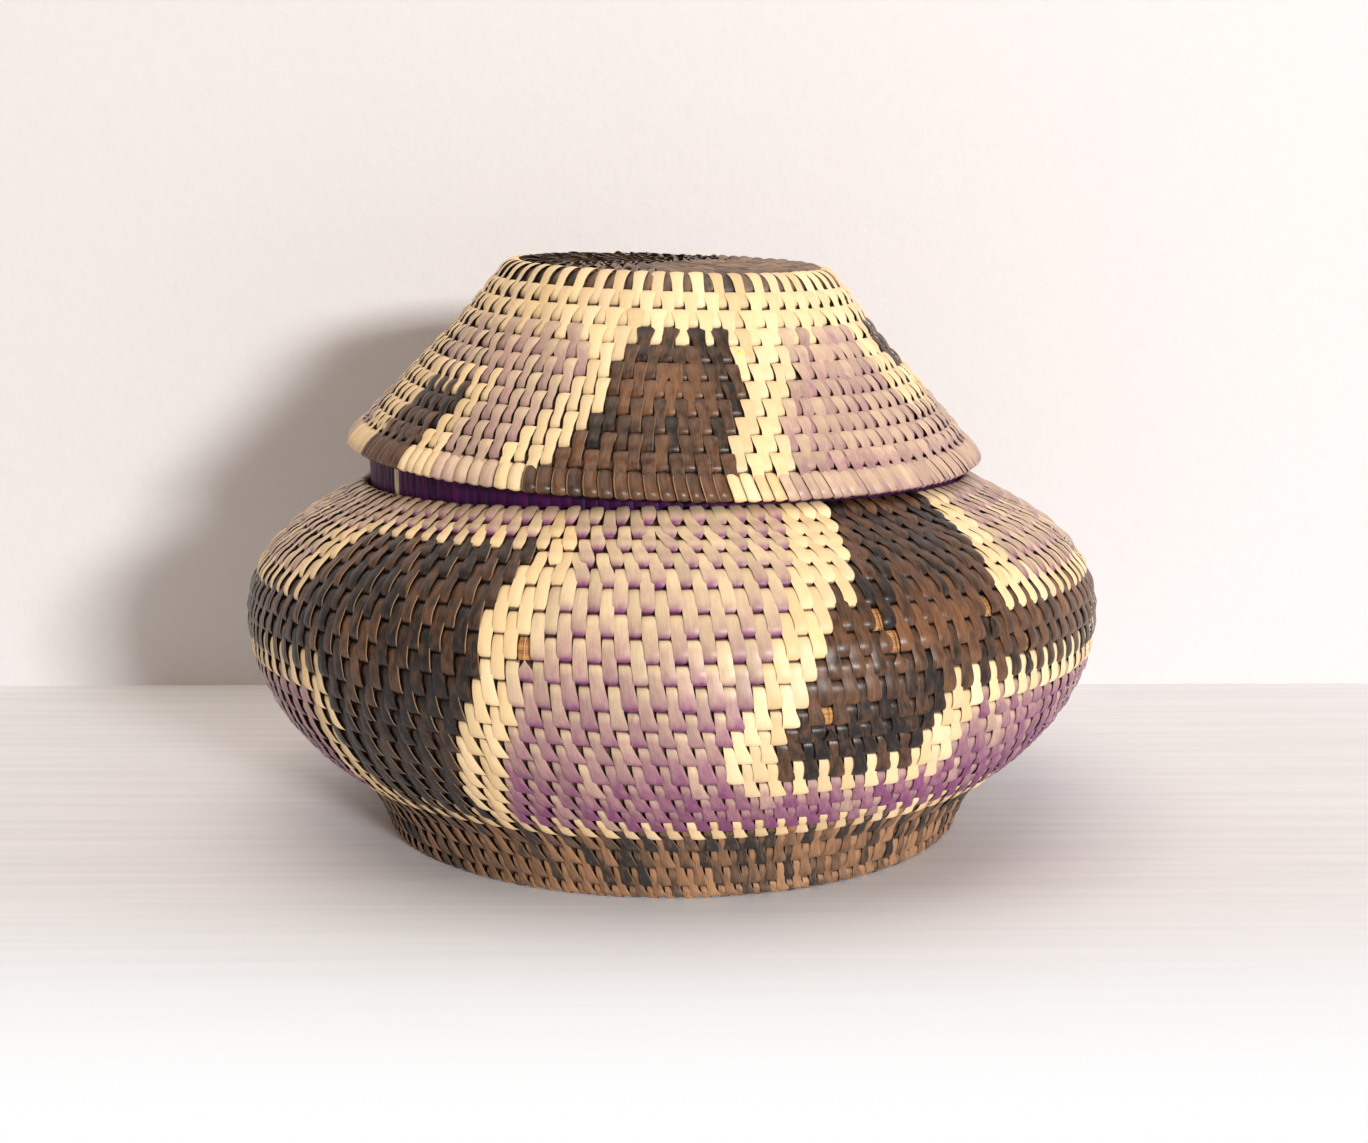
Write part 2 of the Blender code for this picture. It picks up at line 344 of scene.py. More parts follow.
def twins(rows):
    """Which strips stand close beside another one of their course."""
    found = []
    for places in rows:
        after = np.append(places[1:], places[0] + TURN) - places
        found.append(np.minimum(after, np.roll(after, 1)) < 0.66 * TURN / len(places))
    return np.concatenate(found)


def gather(rows, tails):
    """All strips of a wall: their course, the angles of both ends and the count on the course."""
    sizes = [len(places) for places in rows]
    return SimpleNamespace(at=np.repeat(np.arange(float(len(rows))), sizes), wide=np.concatenate(rows),
                           tail=np.concatenate(tails), count=np.repeat(np.array(sizes, dtype=float), sizes))


def only(strips, chosen):
    """Some of the strips."""
    return SimpleNamespace(**{key: values[chosen] if np.ndim(values) else values
                              for key, values in vars(strips).items()})


# Strips in profile: places along the strip, and the height over the wall of its middle there

OUTSIDE = np.array((
    (0.0, -0.0018), (0.012, -0.0012), (0.026, -0.00076), (0.042, -0.00046), (0.062, -0.00020), (0.088, 0.00006),
    (0.12, 0.00029), (0.165, 0.00048), (0.22, 0.00058), (0.29, 0.00054), (0.36, 0.00038), (0.43, 0.00016),
    (0.50, -0.00002), (0.60, -0.00012), (0.72, -0.00010), (0.82, -0.00021), (0.90, -0.00055), (0.95, -0.00095),
    (1.0, -0.0015)))
LID_OUTSIDE = np.array((
    (0.0, -0.0010), (0.03, -0.00040), (0.07, -0.00006), (0.12, 0.00018), (0.19, 0.00036), (0.27, 0.00042),
    (0.36, 0.00034), (0.44, 0.00010), (0.52, -0.00020), (0.62, -0.00030), (0.74, -0.00012), (0.82, -0.00020),
    (0.88, -0.00050), (0.93, -0.00100), (0.97, -0.0017), (1.0, -0.0026)))
INSIDE = np.array(((0.0, -0.0012), (0.08, -0.0001), (0.25, 0.0003), (0.5, -0.0001), (0.75, -0.0002),
                   (0.92, -0.0006), (1.0, -0.0014)))
RIM = np.array(((0.0, -0.0018), (0.04, -0.0006), (0.10, -0.0001), (0.2, 0.0002), (0.35, 0.0003), (0.5, 0.0003),
                (0.62, 0.0002), (0.72, 0.00014737), (0.82, 0.00009474), (0.90, 0.00005263), (1.0, 0.0)))
BARED = np.array(((0.0, -0.0020), (0.2, -0.0012), (0.4, -0.0010), (0.6, -0.0010), (0.8, -0.0012), (1.0, -0.0020)))
FLECK = np.array(((0.0, -0.0002), (0.2, 0.0007), (0.4, 0.00096667), (0.6, 0.00096667), (0.8, 0.0007),
                  (1.0, -0.0002)))
COLLAR = np.array(((0.0,), (0.25,), (0.5,), (0.75,), (0.95,), (1.0,)))
ACROSS = np.array((-1.0, -0.55, 0.0, 0.55, 1.0))
ACROSS_IN = np.array((-1.0, 0.0, 1.0))


def column(values):
    return np.asarray(values).reshape(-1, 1)


def ribbon(wall, strips, profile=OUTSIDE, across=ACROSS, curl=0.00042, roll=0.0, start=0.0, reach=2.06,
           inside=0.0, nose_length=0.10, nose_shift=0.0, ease_start=0.28, ease_length=0.26, sink=0.0,
           twin=False):
    """Places of every point of many strips, as an array (strip, along, across, 3).

    strips says where they lie and how wide both ends are, in shares of their room on the course. A strip
    starts at its wide end's nose, eases into the narrow one, and swings over to its place on the way. One
    that stands close beside another does both later."""
    v = profile[None, :, 0]
    r, z, nr, nz = wall.at(column(strips.at) + start + v * column(reach))
    room = np.maximum(r, 1e-4)
    twin, wide = column(twin), column(strips.wide)
    swing = smooth((v - np.where(twin, TWIN_SWING[0], SWING[0])) / np.where(twin, TWIN_SWING[1], SWING[1]))
    ease = smooth((v - np.where(twin, TWIN_EASE[0], column(ease_start)))
                  / np.where(twin, TWIN_EASE[1], column(ease_length)))
    share = column(strips.share_wide) * (1 - ease) + column(strips.share_tail) * ease
    share = share * (TURN / column(strips.count) * r)
    nose = np.clip(v / column(nose_length), 0.0, 1.0)
    rounding = (1 - column(strips.end_round)) * (1 - np.sqrt(1 - (1 - nose) ** 2))
    half = share * (1 - rounding) / 2
    angle = wide + (column(strips.tail) - wide) * (swing + np.clip(v - 0.75, 0, 1) * 0.9)
    angle = angle - column(nose_shift) * rounding * share / 2 / room
    lift = (profile[None, :, 1] + (strips.seeds[:, 0:1] - 0.5) * STRIP_WAVER * np.sin(v * math.pi)
            + (strips.seeds[:, 1:2] - 0.5) * STRIP_TWIST * np.sin(v * TURN))
    lift = lift - column(sink) * np.clip((v - 0.42) / 0.12, 0.0, 1.0)
    w = across[None, None, :]
    bow = curl * (1 - 0.35 * ease)
    depth = lift[:, :, None] - bow[:, :, None] * w ** 2 + column(roll)[:, :, None] * w
    if inside:
        depth = -inside - depth
    ring = r[:, :, None] + nr[:, :, None] * depth
    turn = angle[:, :, None] + half[:, :, None] * w / room[:, :, None]
    return np.stack((ring * np.sin(turn), -ring * np.cos(turn), z[:, :, None] + nz[:, :, None] * depth), axis=-1)


# Meshes

def place_object(name, data):
    made = bpy.data.objects.new(name, data)
    bpy.context.scene.collection.objects.link(made)
    return made


def add_mesh(name, places, faces, material, maps=None, marks=None):
    """A mesh from arrays. maps are its UV maps and marks the numbers that its material reads."""
    mesh = bpy.data.meshes.new(name)
    mesh.vertices.add(len(places))
    mesh.vertices.foreach_set("co", places.astype(np.float32).ravel())
    mesh.loops.add(faces.size)
    mesh.loops.foreach_set("vertex_index", faces.astype(np.int32).ravel())
    mesh.polygons.add(len(faces))
    mesh.polygons.foreach_set("loop_start", np.arange(0, faces.size, faces.shape[1], dtype=np.int32))
    mesh.polygons.foreach_set("loop_total", np.full(len(faces), faces.shape[1], dtype=np.int32))
    mesh.update(calc_edges=True)
    mesh.validate()
    mesh.polygons.foreach_set("use_smooth", np.ones(len(mesh.polygons), dtype=bool))
    for label, values in (maps or {}).items():
        layer = mesh.uv_layers.new(name=label)
        layer.data.foreach_set("uv", values[faces.ravel()].astype(np.float32).ravel())
    for label, values in (marks or {}).items():
        made = mesh.attributes.new(label, 'FLOAT', 'POINT')
        made.data.foreach_set("value", values.astype(np.float32))
    mesh.materials.append(material)
    return place_object(name, mesh)


def moved(points, matrix):
    if matrix is None:
        return points
    m = np.array(matrix)
    return points @ m[:3, :3].T + m[:3, 3]


def strip_piece(name, places, strips, material, profile=OUTSIDE, across=ACROSS, flip=False, matrix=None,
                mirror=1):
    """One object from an array of strips."""
    n, t, w = places.shape[:3]
    along, across = profile[None, :, 0, None], across[None, None, :]
    i, j = np.meshgrid(np.arange(t - 1), np.arange(w - 1), indexing='ij')
    a = (i * w + j).ravel()
    quad = np.stack((a, a + 1, a + w + 1, a + w), axis=1)
    if flip:
        quad = quad[:, ::-1]
    faces = (quad[None] + (np.arange(n) * t * w)[:, None, None]).reshape(-1, 4)
    strip = np.stack(np.broadcast_arrays(across * mirror, along), axis=-1)
    # Each strip has its own cell of the map OFBake
    side = math.ceil(math.sqrt(n))
    cell = np.arange(n)[:, None, None]
    u = (cell % side + 0.04 + 0.92 * (across + 1) / 2) / side
    v = (cell // side + 0.04 + 0.92 * along) / side
    maps = {"strip": np.broadcast_to(strip, (n, t, w, 2)).reshape(-1, 2),
            "OFBake": np.stack(np.broadcast_arrays(u, v), axis=-1).reshape(-1, 2)}
    marks = {"seed": np.repeat(strips.seeds[:, 0], t * w),
             "edge": np.repeat(np.broadcast_to(strips.edge, n), t * w),
             "fade": np.clip(np.broadcast_to(strips.fade, (n, t)), 0.0, 1.0).repeat(w, axis=1).ravel()}
    return add_mesh(name, moved(places.reshape(-1, 3), matrix), faces, material, maps, marks)


def ring_faces(steps, count):
    """Faces of a surface whose profile of count points is repeated round the axis."""
    i, j = np.meshgrid(np.arange(steps), np.arange(count - 1), indexing='ij')
    a, b = i * count + j, (i + 1) % steps * count + j
    return np.stack((a, b, b + 1, a + 1), axis=-1).reshape(-1, 4)


def turned_piece(name, profile, steps, material, matrix=None, flip=False, groove=None):
    """A surface of revolution from (radius, height) points. groove is 1 at the bottom of each groove."""
    turn = np.arange(steps)[:, None] * TURN / steps
    r, z = profile[None, :, 0], profile[None, :, 1]
    spots = np.stack(np.broadcast_arrays(r * np.sin(turn), -r * np.cos(turn), z), axis=-1).reshape(-1, 3)
    faces = ring_faces(steps, len(profile))
    if flip:
        faces = faces[:, ::-1]
    groove = np.tile(np.zeros(len(profile)) if groove is None else groove, steps)
    return add_mesh(name, moved(spots, matrix), faces, material, marks={"groove": groove})


def dip(course):
    """1 in the groove between two courses and 0 on a course's ridge."""
    return 1.0 - 4.0 * (course % 1.0) * (1.0 - course % 1.0)


def core_piece(name, wall, low, high, steps=CORE_STEPS, groove=CORE_GROOVE, **how):
    """The ribbed core between two courses of a wall."""
    course = np.linspace(low, high, int((high - low) * 6) + 1)
    return turned_piece(name, wall.under(course, CORE_DEPTH + groove * dip(course)), steps, core_grass_in_painted_shade,
                        groove=dip(course), **how)


def inner_core_piece(name, wall, low, high, count, **how):
    """The core as it shows between the strips from inside."""
    course = np.linspace(low, high, count)
    depth = INNER_CORE_DEPTH - INNER_CORE_GROOVE * dip(course)
    return turned_piece(name, wall.under(course, depth), INNER_STEPS, core_grass_in_painted_shade, **how)


# Materials

class Nodes:
    """Short hand for the nodes of a material or a world."""

    def __init__(self, block, shader="Principled BSDF", output="Material Output"):
        self.block = block
        block.use_nodes = True
        self.tree = block.node_tree
        self.shader = self.tree.nodes[shader]
        self.surface = self.tree.nodes[output].inputs["Surface"]

    def add(self, kind, inputs=(), **settings):
        node = self.tree.nodes.new(kind)
        for key, value in settings.items():
            setattr(node, key, value)
        for key, value in dict(inputs).items():
            self.put(node.inputs[key], value)
        return node

    def put(self, socket, value):
        if isinstance(value, bpy.types.NodeSocket):
            self.tree.links.new(value, socket)
        else:
            socket.default_value = value

    def maths(self, operation, *values, clamp=False):
        inputs = dict(enumerate(values))
        return self.add("ShaderNodeMath", inputs, operation=operation, use_clamp=clamp).outputs[0]

    def mix(self, factor, a, b, blend='MIX'):
        a, b = (value if isinstance(value, bpy.types.NodeSocket) else (*value, 1.0) for value in (a, b))
        return self.add("ShaderNodeMix", {0: factor, 6: a, 7: b}, data_type='RGBA', blend_type=blend).outputs[2]

    def ramp(self, value, low, high, start=0.0, end=1.0):
        inputs = {0: value, 1: low, 2: high, 3: start, 4: end}
        return self.add("ShaderNodeMapRange", inputs, interpolation_type='SMOOTHSTEP').outputs[0]

    def mark(self, name):
        return self.add("ShaderNodeAttribute", attribute_name=name).outputs["Fac"]

    def place(self, scale=None):
        """The place on the object, stretched by a scale."""
        place = self.add("ShaderNodeTexCoord").outputs["Object"]
        return self.add("ShaderNodeMapping", {"Vector": place, "Scale": scale}).outputs[0] if scale else place

    def together(self, x, y, z):
        return self.add("ShaderNodeCombineXYZ", {0: x, 1: y, 2: z}).outputs[0]

    def noise(self, place, scale, detail=3.0, roughness=0.6):
        inputs = {"Vector": place, "Scale": scale, "Detail": detail, "Roughness": roughness}
        return self.add("ShaderNodeTexNoise", inputs).outputs[0]

    def shade(self, colour, value, reach, base):
        """The colour times base + reach * value."""
        tone = self.maths('MULTIPLY_ADD', value, reach, base)
        return self.mix(1.0, colour, self.together(tone, tone, tone), 'MULTIPLY')

    def dress(self, colour, roughness, bump=None):
        """Gives the shader its colour, roughness and bump, which is (strength, distance, height)."""
        self.put(self.shader.inputs["Base Color"], colour)
        self.put(self.shader.inputs["Roughness"], roughness)
        if bump:
            made = self.add("ShaderNodeBump", dict(zip(("Strength", "Distance", "Height"), bump)))
            self.put(self.shader.inputs["Normal"], made.outputs[0])
        return self.block

    def cover(self, factor, shader):
        """Puts another shader over the first one."""
        mixed = self.add("ShaderNodeMixShader", {0: factor, 1: self.shader.outputs[0], 2: shader.outputs[0]})
        self.put(self.surface, mixed.outputs[0])

    def seen(self):
        """1 for what the camera sees, also in gloss and through glass."""
        rays = self.add("ShaderNodeLightPath").outputs
        others = self.maths('MAXIMUM', rays["Is Glossy Ray"], rays["Is Transmission Ray"])
        return self.maths('MAXIMUM', rays["Is Camera Ray"], others)


def new_look(name):
    return Nodes(bpy.data.materials.new(name))


def straw(name, dyed, bleached, edge=None, edge_amount=0.9, roughness=(0.40, 0.60), spread=0.35, streak=0.25,
          deep=(0.020, 0.011, 0.009), gloss=0.5):
    """A flat strip of leaf: fibres along it, its dye faded by a mark that also holds painted light and shade, and a
    pale edge on one side, partly the raw edge and partly a painted highlight.

    spread is how unevenly the dye has faded, streak how strong the fibres show, and deep the painted shade at
    the ends, where the strip goes under another one."""
    n = new_look(name)
    strip = n.add("ShaderNodeSeparateXYZ", {0: n.add("ShaderNodeUVMap", uv_map="strip").outputs[0]})
    across, along = strip.outputs[0], strip.outputs[1]
    seed = n.mark("seed")
    fibres = n.noise(n.together(n.maths('MULTIPLY_ADD', across, 7.0), n.maths('MULTIPLY', along, 2.2),
                                n.maths('MULTIPLY', seed, 91.0)), 1.0, 3.0, 0.65)
    patches = n.noise(n.together(n.maths('MULTIPLY', across, 0.8), n.maths('MULTIPLY', along, 2.6),
                                 n.maths('MULTIPLY', seed, 53.0)), 1.3, 2.0, 0.5)
    uneven = n.maths('MULTIPLY', n.maths('SUBTRACT', patches, 0.5), spread * 1.6)
    # The mark holds the dye's fading, with painted highlights and painted shade laid into it
    bleaching_and_painted_light = n.maths('ADD', n.mark("fade"), uneven)
    uneven = n.maths('MULTIPLY', n.maths('SUBTRACT', fibres, 0.5), spread * 0.8)
    colour = n.mix(n.maths('ADD', bleaching_and_painted_light, uneven, clamp=True), dyed, bleached)
    colour = n.shade(colour, fibres, streak, 1.0 - streak * 0.5)
    colour = n.shade(colour, seed, 0.26, 0.87)
    # The pale line along one side is partly the strip's raw edge and partly a painted highlight
    if edge:
        amount = n.maths('MULTIPLY', n.ramp(across, 0.80, 0.96), n.maths('MULTIPLY', n.mark("edge"), edge_amount))
        colour = n.mix(amount, colour, edge)
    # Painted shade: both ends, where the strip dives under another, take the deep colour, further at one corner
    end = n.maths('ADD', along, n.maths('MULTIPLY', n.ramp(across, 0.25, 1.0), 0.03))
    painted_slot_shade = n.maths('MAXIMUM', n.ramp(end, 0.955, 0.985), n.ramp(along, 0.042, 0.016))
    colour = n.mix(n.maths('MULTIPLY', painted_slot_shade, 0.82), colour, deep)
    n.shader.inputs["Specular IOR Level"].default_value = gloss
    spots = n.noise(n.place(), 900.0, 2.0, 0.6)
    height = n.maths('ADD', fibres, n.maths('MULTIPLY', spots, 0.35))
    return n.dress(colour, n.ramp(fibres, 0.3, 0.7, *roughness), (0.35, 0.00018, height))


def grass(name, pale, deep):
    """The grass core of the coil: fibres that run round the basket, darker in its grooves as painted shade."""
    n = new_look(name)
    blades = n.noise(n.place((60.0, 60.0, 1400.0)), 1.0)
    colour = n.mix(n.ramp(blades, 0.35, 0.65), deep, pale)
    # Painted shade: darker towards the bottom of each groove
    colour = n.mix(n.ramp(n.mark("groove"), 0.35, 0.75), colour, (0.030, 0.014, 0.012))
    return n.dress(colour, n.ramp(blades, 0.3, 0.7, 0.6, 0.85), (0.6, 0.0004, blades))


# Each deep colour is the painted shade where a strip goes under another one
natural_straw = straw("natural_straw", (0.76, 0.53, 0.26), (0.92, 0.700, 0.43), (0.62, 0.40, 0.20), 0.5,
                      roughness=(0.40, 0.58), streak=0.16, deep=(0.060, 0.024, 0.010))
dark_straw = straw("dark_straw", (0.010, 0.007, 0.0062), (0.185, 0.083, 0.039), (0.55, 0.34, 0.18),
                   roughness=(0.26, 0.44), spread=0.85, streak=0.9, deep=(0.006, 0.004, 0.003), gloss=0.36)
mauve_straw = straw("mauve_straw", (0.208, 0.046, 0.150), (0.72, 0.555, 0.352), (0.66, 0.45, 0.36), 0.7,
                    roughness=(0.33, 0.48), spread=0.30, streak=0.22, deep=(0.070, 0.014, 0.034))
foot_straw = straw("foot_straw", (0.024, 0.020, 0.018), (0.41, 0.215, 0.110), (0.6, 0.42, 0.26), spread=0.6,
                   streak=0.8)
crown_straw = straw("crown_straw", (0.034, 0.022, 0.018), (0.280, 0.175, 0.115), (0.50, 0.32, 0.19), spread=0.7,
                    streak=0.9)
purple_straw = straw("purple_straw", (0.030, 0.004, 0.036), (0.090, 0.010, 0.080), spread=0.5, streak=0.5,
                     deep=(0.02, 0.004, 0.03), gloss=0.10)
bottom_straw = straw("bottom_straw", (0.34, 0.22, 0.11), (0.60, 0.44, 0.25), roughness=(0.5, 0.7), spread=0.4)
# Painted shade: the core between the strips is coloured dark; the bared core below has its own colour
core_grass_in_painted_shade = grass("core_grass_in_painted_shade", (0.135, 0.060, 0.036), (0.055, 0.024, 0.016))
bared_grass = grass("bared_grass", (0.66, 0.33, 0.11), (0.36, 0.14, 0.045))


# The pattern, as (colours from 90 degrees left of the front to 90 right of it, degrees where they change) for
# each course. The back repeats the front, half a turn round.

DARK, PALE, MAUVE = "DPM"
BOWL_PATTERN = (             # from the mouth down
    ("MPDPM", (19.0, 26.2, 49.0, 54.0)),
    ("MPMPDPM", (-17.3, -12.0, 18.5, 25.4, 47.9, 52.9)),
    ("MPMPDPM", (-50.0, -11.5, 18.0, 24.6, 47.1, 52.1)),
    ("MPDPMPDPM", (-57.0, -50.0, -18.7, -12.3, 17.2, 23.7, 46.0, 51.2)),
    ("MPDPMPDPM", (-57.2, -50.5, -19.4, -13.4, 16.3, 22.4, 44.7, 50.0)),
    ("MPDPMPDPM", (-57.5, -51.2, -20.0, -14.2, 15.2, 21.2, 43.0, 48.6)),
    ("PDPMPDP", (-51.5, -20.4, -14.9, 14.1, 19.8, 41.8)),
    ("DPMPD", (-21.1, -15.7, 13.1, 18.3)),
    ("DPMPD", (-21.9, -16.6, 11.9, 17.1)),
    ("DPMPD", (-22.9, -17.3, 10.7, 16.1)),
    ("PDPMPDP", (-45.4, -23.5, -17.8, 9.8, 15.2, 33.1)),
    ("MPDPMPDPM", (-49.0, -44.6, -24.2, -18.3, 8.8, 14.3, 32.1, 37.8)),
    ("MPDPMPDPM", (-49.2, -44.7, -24.7, -19.0, 7.9, 13.4, 31.2, 37.2)),
    ("MPDPMPDPM", (-50.4, -45.6, -25.4, -19.6, 7.2, 12.7, 30.2, 36.2)),
    ("MPDPMPM", (-51.5, -46.3, -25.9, -20.0, 7.6, 34.5)),
    ("MPDPM", (-51.7, -46.1, -26.0, -20.3)),
    ("MPDPM", (-51.0, -45.0, -26.0, -20.5)),
    ("MPDPM", (-50.0, -44.0, -26.0, -20.5)),
    (PALE, ()),
) + ((DARK, ()),) * FOOT_COURSES
NATURAL_COURSE = 18          # the one over the foot
LID_PATTERN = ((DARK, ()),) * CROWN_COURSES + ((PALE, ()),) * 3 + (   # from the middle of the crown to the rim
    ("PMPDPMPDP", (-71, -20, -6.8, 17.2, 29.0, 58, 70, 84)),
    ("PMPDPMPDP", (-71, -18.5, -9.5, 17.0, 29.0, 58, 70, 85)),
    ("PMPDPMPDP", (-71, -20, -11.5, 15.5, 29.0, 58, 72, 86)),
    ("PMPDPMP", (-40, -20, -13.0, 15.0, 26.5, 56)),
    ("PDPMPDPMP", (-59, -45.5, -37, -23, -14.5, 14.0, 24.0, 62)),
    ("MPDPMPDPM", (-75, -60, -46, -40, -25, -17.5, 12.0, 22.0)),
    ("MPDPMPDPM", (-75, -62, -48, -42, -26, -20.0, 12.0, 22.0)),
    ("MPDPMPDPM", (-75, -63, -49, -42, -28, -21.5, 11.5, 20.5)),
    ("MPDPMPDPM", (-75, -63.5, -50.5, -41.5, -29.5, -22.8, 10.3, 18.0)),
)


def colours(pattern, courses, degrees):
    """The colour of each strip, from its course in the pattern and its angle."""
    places = zip(courses, (degrees + 90.0) % 180.0 - 90.0)
    return np.array([pattern[c][0][np.searchsorted(pattern[c][1], place, side='right')] for c, place in places])


STRAWS = ((DARK, "dark", dark_straw), (PALE, "natural", natural_straw), (MAUVE, "mauve", mauve_straw))
bowl_pieces, lid_pieces = [], []     # of (piece, node it replaces, slot)


def colour_pieces(pieces, node, label, places, strips, **how):
    """Makes one piece of each colour from the strips."""
    for kind, word, material in STRAWS:
        chosen = strips.colour == kind
        if not chosen.any():
            continue
        if node == "foot_coil" and kind == DARK:
            material = foot_straw
        piece = strip_piece(label.format(word), places[chosen], only(strips, chosen), material, **how)
        pieces.append((piece, node, f"{word}_straw"))


# The bowl's wall, worked upwards

outlines = foot_outline(), belly_outline(), shoulder_outline()
lengths = [length_of(line) * 1000 for line in outlines]
WAIST = FOOT_COURSES
WIDEST = WAIST + round(length_of(outlines[1]) / FINE_PITCH)
BOWL_COURSES = WIDEST + round(length_of(outlines[2]) / COIL_PITCH)
cuts = (0, WAIST, WIDEST, BOWL_COURSES)
stretches = [(outlines[i], [min(1.0, (end - sum(lengths[:i])) / lengths[i])
                            for end in COURSE_ENDS[cuts[i]:cuts[i + 1] - 1]] + [1.0]) for i in range(3)]
lip = outlines[2][-1] + np.array([(-0.0011, 0.0003), (-0.0021, -0.0004), (-0.0026, -0.0020), (-0.0026, -0.0075)])
sole = np.array([(FOOT_RADIUS - 0.0050, 0.0030), (FOOT_RADIUS - 0.0040, 0.0012), (FOOT_RADIUS - 0.0022, 0.0004)])
bowl = Wall(stretches, -1, before=sole, after=lip)
bowl_rows, bowl_tails = lay(BOWL_COUNTS, BOWL_LEAN, turn=math.radians(1.0))


def bowl_fade_and_painted_light(row, degrees, strips):
    """How far each strip's dye has faded along it, with painted highlights and painted shade in it: 1 is bare
    straw.
    """
    v, row, degrees = OUTSIDE[None, :, 0], column(row).astype(float), column(degrees)
    seed, other, kinds = strips.seeds[:, 2:3], strips.seeds[:, 3:4], column(strips.colour)
    # The mauve darkens down the belly, towards the noses, and to the right as painted shade
    mauve = np.interp(row, [0, 2, 4, 6, 8, 10, 12, 13.4, 14.3, 18],
                      [0.72, 0.78, 0.78, 0.72, 0.52, 0.36, 0.32, 0.26, 0.12, 0.06])
    mauve = mauve + np.clip(v - 0.40, -0.4, 0.3) * np.interp(row, [0, 4, 10, 18], [0.60, 0.75, 0.50, 0.25])
    mauve = mauve + (seed - 0.5) * 0.20 - 0.13 * np.clip((degrees - 25) / 20, 0, 1)
    mauve = mauve - 0.60 * hill(v, 0.0, 0.10) * np.interp(row, [0, 8, 14], [1.0, 0.8, 0.3])
    # Some strips are almost bare; the paling just below the slots is a painted highlight on the narrow ends' tops
    mauve = mauve + (other > 0.90) * 0.35 + 0.38 * hill(v, 0.90, 0.10) * np.interp(row, [5, 9, 17], [0.1, 1.0, 0.5])
    # The dark blocks are rusty in patches, on the right most, and blackest low on the left as painted shade
    black = 0.24 + 0.14 * np.sin(degrees * 0.21 + row * 1.1) + (seed - 0.5) * 0.6
    black = black + 0.30 * hill(row, 7.0, 2.2) * (degrees > 0)
    black = black - np.clip((row - 8) / 4, 0, 1) * 0.34 * (degrees < 0)
    pale = 0.62 + (seed - 0.5) * 0.7 + (v - 0.5) * 0.1
    foot = np.interp(row, [19, 20, 21, 22], [0.20, 0.40, 0.44, 0.62]) + (seed - 0.5) * 1.1
    # Painted highlight at the tops of the foot's narrow ends, painted shade at its noses
    foot = foot + 0.35 * hill(v, 0.86, 0.12) - 0.35 * hill(v, 0.0, 0.10)
    dark = np.where(row > NATURAL_COURSE, foot, black)
    return np.where(kinds == MAUVE, mauve, np.where(kinds == DARK, dark, pale))


sewn = gather(bowl_rows, bowl_tails)
# The last narrow ends of the bottom fill the gaps of the foot's lowest course
lowest = midway(bowl_rows[0])
for key, values in (("at", LOWEST_COURSE), ("wide", lowest + 0.012), ("tail", lowest), ("count", FOOT_STRIPS)):
    setattr(sewn, key, np.append(np.broadcast_to(values, lowest.shape), getattr(sewn, key)))
sewn.seeds = rng.random((len(sewn.at), 4))
sewn.belongs = sewn.at.astype(int)
row = np.floor(BOWL_COURSES - 1 - sewn.at).astype(int)
degrees = to_degrees(sewn.wide)
sewn.colour = colours(BOWL_PATTERN, row, degrees)
sewn.fade = bowl_fade_and_painted_light(row, degrees, sewn)
near_mouth = np.clip((5.5 - row) / 5.0, 0.0, 1.0)
low_belly = np.clip((row - 7.5) / 3.0, 0.0, 1.0)
on_foot = row > NATURAL_COURSE
sewn.share_wide = 0.575 + 0.15 * near_mouth + 0.12 * low_belly + 0.03 * on_foot + (sewn.seeds[:, 0] - 0.5) * 0.05
sewn.share_tail = 0.605 - 0.095 * low_belly - 0.03 * on_foot + (sewn.seeds[:, 1] - 0.5) * 0.05
sewn.end_round = 0.46 - 0.31 * near_mouth + 0.32 * low_belly
# How strong the pale edge is, partly a painted highlight: most on the left of the front
sewn.edge = (np.clip(0.75 - (degrees + 25.0) / 18.0, 0.12, 0.8) * (sewn.seeds[:, 3] > 0.35) * ~on_foot
             + 0.35 * on_foot)
# Where a narrow end is pinched and bares the core: degrees, course of the strip's wide end
pinched = np.zeros(len(row), dtype=bool)
for spot_degrees, spot_row in ((25.0, 7), (25.2, 8), (40.0, 7), (46.0, 9), (-16.5, 8), (17.0, 11)):
    pinched[np.argmin(np.hypot((degrees - spot_degrees) * 1.4, (row - spot_row) * 4.0))] = True
sewn.share_tail[pinched] = 0.02
sewn.at = sewn.at + rng.normal(0.0, 0.018, len(sewn.at)) * (sewn.at > 0)
places = ribbon(bowl, sewn, curl=0.00034, roll=0.00008 + (sewn.seeds[:, 2] - 0.5) * 0.00026, start=0.015,
                reach=np.where(sewn.at < 0, 1.96, 2.02), nose_length=0.13 + 0.15 * near_mouth - 0.05 * low_belly,
                nose_shift=0.30 + 0.30 * near_mouth - 0.20 * low_belly, ease_start=0.30 - 0.20 * low_belly,
                ease_length=0.24 + 0.18 * low_belly,
                twin=np.append(np.zeros(len(lowest), dtype=bool), twins(bowl_rows)))

